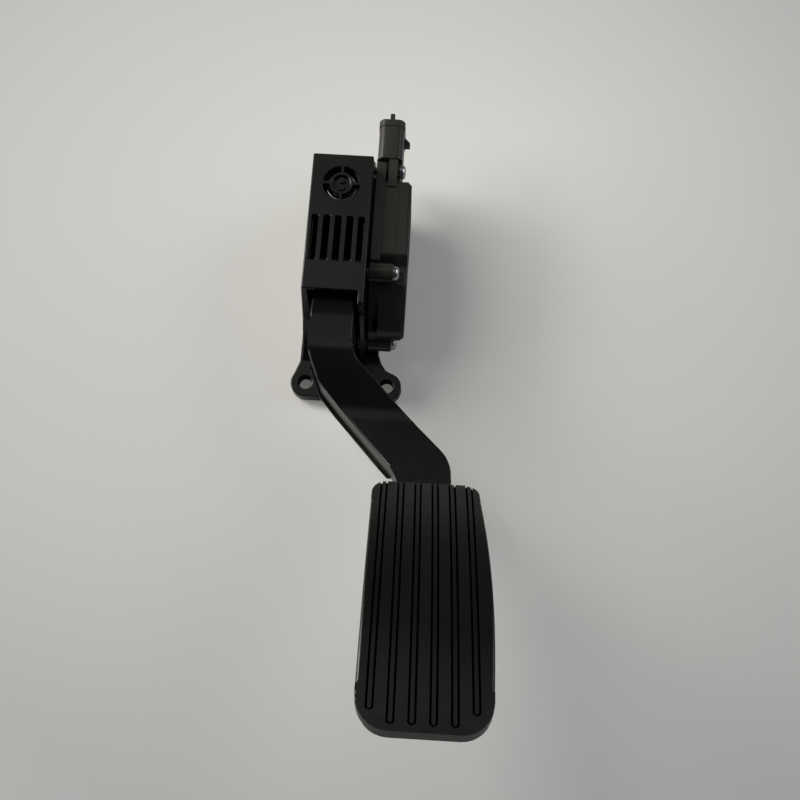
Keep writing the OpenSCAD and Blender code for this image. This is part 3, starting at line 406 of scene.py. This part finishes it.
# Shop dust: a thin film, broken up by fine specks, that gathers on faces that look up.
shop_dust, inside, outside = new_group("shop_dust", (("Film", 0.3), ("Speck Size", 0.0012)), ("Mask",))
place = shop_dust.nodes.new("ShaderNodeTexCoord")
split = shop_dust.nodes.new("ShaderNodeSeparateXYZ")
shop_dust.links.new(place.outputs["Normal"], split.inputs["Vector"])
upward = stretch(shop_dust, split.outputs["Z"], 0.2, 1.0)
settled = product(shop_dust, upward, inside.outputs["Film"])
specks = noise_of(shop_dust, inside.outputs["Speck Size"], 5.0, place.outputs["Object"])
shop_dust.links.new(product(shop_dust, settled, specks), outside.inputs["Mask"])


def moulding_material(
    name, dark, pale, rough, grain, depth, worn_and_lit=(0.03, 0.03, 0.03), wear_and_highlight=0.4, dust=0.25, metal=0.0
):
    # Grain, clouding, worn edges that also carry a painted highlight, and dust over one moulded colour. The
    # two values of rough are its lowest and highest roughness, and depth is the height of the grain.
    dust_tone = (0.16, 0.15, 0.13)
    material = bpy.data.materials.new(name)
    material.use_nodes = True
    tree = material.node_tree
    shader = tree.nodes["Principled BSDF"]
    shader.inputs["Metallic"].default_value = metal
    grains = tree.nodes.new("ShaderNodeGroup")
    grains.node_tree = moulded_grain
    grains.inputs["Grain Size"].default_value = grain
    rubbed_and_lit = tree.nodes.new("ShaderNodeGroup")
    rubbed_and_lit.node_tree = edge_wear_and_highlight
    rubbed_and_lit.inputs["Amount"].default_value = wear_and_highlight
    dusty = tree.nodes.new("ShaderNodeGroup")
    dusty.node_tree = shop_dust
    dusty.inputs["Film"].default_value = dust
    masks = (grains.outputs["Cloud"], rubbed_and_lit.outputs["Mask"], dusty.outputs["Mask"])
    colour = None
    for above, mask in zip((pale, worn_and_lit, dust_tone), masks):
        layer = tree.nodes.new("ShaderNodeMix")
        layer.data_type = "RGBA"
        layer.inputs["A"].default_value = (*dark, 1)
        layer.inputs["B"].default_value = (*above, 1)
        if colour:
            tree.links.new(colour, layer.inputs["A"])
        tree.links.new(mask, layer.inputs["Factor"])
        colour = layer.outputs["Result"]
    tree.links.new(colour, shader.inputs["Base Color"])
    satin = tree.nodes.new("ShaderNodeMapRange")
    satin.inputs["To Min"].default_value = rough[0]
    satin.inputs["To Max"].default_value = rough[1]
    tree.links.new(grains.outputs["Cloud"], satin.inputs["Value"])
    tree.links.new(satin.outputs["Result"], shader.inputs["Roughness"])
    bump = tree.nodes.new("ShaderNodeBump")
    bump.inputs["Distance"].default_value = depth
    tree.links.new(grains.outputs["Height"], bump.inputs["Height"])
    tree.links.new(bump.outputs["Normal"], shader.inputs["Normal"])
    return material


housing = from_solid("housing", "housing_moulding")
round_edges(housing, 0.0006, slit=0.006)
housing_plastic = moulding_material(
    "housing_plastic", (0.0042, 0.0044, 0.0038), (0.0066, 0.0067, 0.0058), (0.25, 0.30), 0.0006, 0.000012
)
housing.data.materials.append(housing_plastic)
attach(housing, "housing")
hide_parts("housing")

# Arm
# One black moulding of hub, lever, cranked bar and foot plate, which turns on the steel shaft. Its edge
# radii are larger than the housing's and its skin is a little smoother.
arm = from_solid("pedal_arm", "arm_moulding")
round_edges(arm, 0.0009, 3)
arm_plastic = moulding_material(
    "arm_plastic", (0.0028, 0.0032, 0.0028), (0.0044, 0.0048, 0.0042), (0.23, 0.28), 0.0005, 0.00001
)
arm.data.materials.append(arm_plastic)
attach(arm, "arm")
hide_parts("pedal_arm")

# Pad
# A moulded rubber cover, stretched over the foot plate, with six long double slits in its face. Its rim
# is rounder than the slits' edges.
pad = from_solid("pad_cover", "pad_rubber_cover")
pad_shape = bmesh.new()
pad_shape.from_mesh(pad.data)
pad_surface = BVHTree.FromBMesh(pad_shape)
round_edges(pad, 0.0012, 3, slit=0.0015)
pad_rubber = moulding_material(
    "pad_rubber", (0.0022, 0.0024, 0.0023), (0.0036, 0.0039, 0.0037), (0.23, 0.28), 0.0007, 0.00001
)
pad.data.materials.append(pad_rubber)
# Inside the slits the rubber is darker and rougher and mirrors less: painted shade for the slits' depth.
painted_slit_shade = moulding_material(
    "painted_slit_shade", (0.0008, 0.0008, 0.0008), (0.0014, 0.0014, 0.0013), (0.70, 0.85), 0.0007, 0.00001,
    wear_and_highlight=0.0, dust=0.0,
)
painted_slit_shade.node_tree.nodes["Principled BSDF"].inputs["Specular IOR Level"].default_value = 0.04
pad.data.materials.append(painted_slit_shade)
slit_reach = 0.0014


def blocked(start, way):
    # Whether the pad itself stands close to a place on the given side of it.
    return pad_surface.ray_cast(start, way, slit_reach)[0] is not None


# A face inside a slit looks at its other wall, or has walls close on both sides. Such faces take the
# second, darker material, which paints the slit's shade.
for face in pad.data.polygons:
    start = face.center + face.normal * 0.00005
    spot, out, index, gap = pad_surface.find_nearest(start)
    across = face.normal.cross(Vector((0, 0, 1))).normalized()
    enclosed = blocked(start, face.normal) or (blocked(start, across) and blocked(start, -across))
    if (start - spot).dot(out) > 0 and enclosed:
        face.material_index = 1
pad_shape.free()
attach(pad, "arm")
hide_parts("pad_cover")

# Sensor
# The sensor's body with its connector, held by three screws, and the cover welded on it. Both are moulded
# in satin black plastic with a brown cast.
satin_plastic = moulding_material(
    "sensor_plastic", (0.0375, 0.0362, 0.0304), (0.0465, 0.0447, 0.0375), (0.28, 0.34), 0.0006, 0.000012
)
lid_seam = 0.0211


def seam_share(middle):
    # Edges on the welded seam get a quarter of the radius.
    return 0.25 if abs(middle.x - lid_seam) < 0.0002 else 1.0


for node, name, slot in (
    ("sensor_body", "sensor_moulding", "sensor_plastic"),
    ("sensor_cover", "sensor_lid", "cover_plastic"),
):
    piece = from_solid(node, name)
    round_edges(piece, 0.0005, share=seam_share)
    piece.data.materials.append(satin_plastic)
    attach(piece, "housing")
    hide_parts(node)

# Cover field
# A blank raised field on the sensor's cover, moulded with it: a narrow border round a sunk flat.
field_low = Vector((0.02695, -0.0415, 0.0600))
field_high = Vector((0.02725, -0.0165, 0.0840))
corner_radius = 0.0022
border = 0.0011
step_width = 0.00018
sunk = 0.00012


def clear_selection(mesh):
    for part in (mesh.vertices, mesh.edges, mesh.polygons):
        part.foreach_set("select", [False] * len(part))


def faces_where(mesh, wanted):
    # Selects faces by their middle and normal, for the next operator in edit mode.
    bpy.ops.object.mode_set(mode="OBJECT")
    clear_selection(mesh)
    for face in mesh.polygons:
        face.select = wanted(face.center, face.normal)
    bpy.ops.object.mode_set(mode="EDIT")
    bpy.ops.mesh.select_mode(type="FACE")


bpy.ops.object.select_all(action="DESELECT")
bpy.ops.mesh.primitive_cube_add(size=1, location=(field_low + field_high) / 2)
field = bpy.context.object
field.name = "cover_field"
field.scale = field_high - field_low
bpy.ops.object.transform_apply(location=True, rotation=True, scale=True)
bpy.ops.object.mode_set(mode="EDIT")
bpy.ops.mesh.select_mode(type="EDGE")
bpy.ops.object.mode_set(mode="OBJECT")
clear_selection(field.data)
for edge in field.data.edges:
    ends = [field.data.vertices[i].co for i in edge.vertices]
    edge.select = abs(ends[0].x - ends[1].x) > 0.0001
bpy.ops.object.mode_set(mode="EDIT")
bpy.ops.mesh.select_mode(type="EDGE")
bpy.ops.mesh.bevel(offset=corner_radius, segments=6, affect="EDGES")
faces_where(field.data, lambda middle, normal: normal.x > 0.9)
bpy.ops.mesh.inset(thickness=border)
bpy.ops.mesh.inset(thickness=step_width)
bpy.ops.transform.translate(value=(-sunk, 0, 0))
bpy.ops.object.mode_set(mode="OBJECT")
soft = field.modifiers.new("soft", "BEVEL")
soft.width = 0.00008
soft.segments = 2
soft.limit_method = "ANGLE"
soft.angle_limit = math.radians(40)
bpy.ops.object.modifier_apply(modifier="soft")
bpy.ops.object.shade_smooth_by_angle(angle=math.radians(35))
field.data.materials.append(satin_plastic)
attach(field, "housing")

# Sensor screws
# Three zinc-plated pan head screws with a six-lobed recess hold the sensor on the housing's side. Head
# and shank are cold-formed in one piece, and the shank runs in the moulded bosses.
head_radius = 0.0035
rim_height = 0.0011
recess_edge = 0.00012
recess_depth = 0.0015
lobe_depth = 0.14
shank_radius = 0.0019
shank_length = 0.0140
tip_inset = 0.0007
tip_length = 0.0015
twist_step = 0.35
screw_seat = 0.0211
long_screw = 0.0045

bpy.ops.object.select_all(action="DESELECT")
bpy.ops.mesh.primitive_cylinder_add(
    vertices=48, radius=head_radius, depth=rim_height,
    location=(rim_height / 2, 0, 0), rotation=(0, math.radians(90), 0),
)
screw = bpy.context.object
bpy.ops.object.transform_apply(location=True, rotation=True, scale=True)
faces_where(screw.data, lambda middle, normal: normal.x > 0.9)
for inset, rise in ((0.00035, 0.00075), (0.0006, 0.0005), (0.0008, 0.00025)):
    bpy.ops.mesh.inset(thickness=inset)
    bpy.ops.transform.translate(value=(rise, 0, 0))
bpy.ops.mesh.inset(thickness=recess_edge)
bpy.ops.object.mode_set(mode="OBJECT")
for vert in screw.data.vertices:
    if vert.select:
        turn = math.atan2(vert.co.z, vert.co.y)
        lobe = 1.0 + lobe_depth * math.cos(6 * turn)
        vert.co.y *= lobe
        vert.co.z *= lobe
bpy.ops.object.mode_set(mode="EDIT")
bpy.ops.mesh.extrude_region_move(TRANSFORM_OT_translate={"value": (-recess_depth, 0, 0)})
faces_where(screw.data, lambda middle, normal: normal.x < -0.9 and middle.x < 0.0001)
bpy.ops.mesh.inset(thickness=head_radius - shank_radius)
bpy.ops.mesh.extrude_region_move(TRANSFORM_OT_translate={"value": (-shank_length, 0, 0)})
bpy.ops.mesh.inset(thickness=tip_inset)
bpy.ops.transform.translate(value=(-tip_length, 0, 0))
bpy.ops.object.mode_set(mode="OBJECT")
bpy.ops.object.shade_smooth_by_angle(angle=math.radians(35))
screw_zinc = moulding_material(
    "screw_zinc", (0.62, 0.63, 0.64), (0.74, 0.75, 0.75), (0.24, 0.36), 0.0003, 0.00001,
    worn_and_lit=(0.8, 0.8, 0.8), wear_and_highlight=0.3, dust=0.1, metal=1.0,
)
screw.data.materials.append(screw_zinc)
screw_places = ((0.0440, 0.0964, long_screw), (0.0480, 0.0420, 0.0), (0.0170, 0.0193, 0.0))
for count, (depth, height, longer) in enumerate(screw_places):
    each = screw if count == 2 else screw.copy()
    if count != 2:
        each.data = screw.data.copy()
        bpy.context.scene.collection.objects.link(each)
    for vert in each.data.vertices:
        if vert.co.x < -shank_length / 2:
            vert.co.x -= longer
    twist = Matrix.Rotation(twist_step * count, 4, "X")
    each.data.transform(Matrix.Translation((screw_seat, -depth, height)) @ twist)
    each.name = "sensor_screw_%d" % (count + 1)
    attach(each, "housing")
    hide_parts("sensor_screws")

# Springs
# Two coiled steel springs, one inside the other, push the arm back. In the real pedal they shorten as it is
# pressed; here they keep one length and ride with the housing.
spring_steel = moulding_material(
    "spring_steel", (0.30, 0.30, 0.31), (0.42, 0.42, 0.43), (0.28, 0.40), 0.0003, 0.00001,
    worn_and_lit=(0.5, 0.5, 0.5), wear_and_highlight=0.2, dust=0.1, metal=1.0,
)
for node, name in (("outer_spring", "outer_coil"), ("inner_spring", "inner_coil")):
    coil = from_solid(node, name)
    smooth = coil.modifiers.new("smooth", "SUBSURF")
    smooth.levels = 1
    smooth.render_levels = 1
    bpy.ops.object.modifier_apply(modifier="smooth")
    bpy.ops.object.shade_smooth_by_angle(angle=math.radians(50))
    coil.data.materials.append(spring_steel)
    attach(coil, "housing")
    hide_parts(node)
    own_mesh(coil)

# Small pieces
# Steel, brass, rubber, plastic and ferrite pieces, most of them inside the housing and the sensor, that
# keep the solid's shape. Each is pressed, seated or moulded in where its solid lies.
finishes = {
    "shaft_steel": ((0.55, 0.55, 0.55), (0.22, 0.32), 1.0),
    "clip_steel": ((0.28, 0.28, 0.29), (0.32, 0.42), 1.0),
    "pin_brass": ((0.78, 0.66, 0.40), (0.28, 0.38), 1.0),
    "bush_plastic": ((0.48, 0.40, 0.25), (0.38, 0.48), 0.0),
    "friction_material": ((0.09, 0.065, 0.05), (0.75, 0.88), 0.0),
    "stop_rubber": ((0.010, 0.010, 0.010), (0.55, 0.68), 0.0),
    "seat_plastic": ((0.028, 0.028, 0.032), (0.42, 0.54), 0.0),
    "seal_rubber": ((0.008, 0.008, 0.008), (0.55, 0.68), 0.0),
    "board_laminate": ((0.018, 0.11, 0.045), (0.25, 0.36), 0.0),
    "chip_resin": ((0.018, 0.018, 0.018), (0.45, 0.56), 0.0),
    "rotor_plastic": ((0.58, 0.55, 0.48), (0.40, 0.50), 0.0),
    "magnet_ferrite": ((0.055, 0.055, 0.060), (0.42, 0.54), 0.6),
}
made = {}
for slot, (colour, rough, metal) in finishes.items():
    lighter = tuple(part * 1.15 for part in colour)
    made[slot] = moulding_material(slot, colour, lighter, rough, 0.0004, 0.00001, worn_and_lit=lighter, metal=metal)
for part in frame["record"]["subparts"]:
    slot = part["material_slot"]
    if slot in made:
        solid = frame["nodes"][part["node"]]
        solid.data.materials.clear()
        solid.data.materials.append(made[slot])
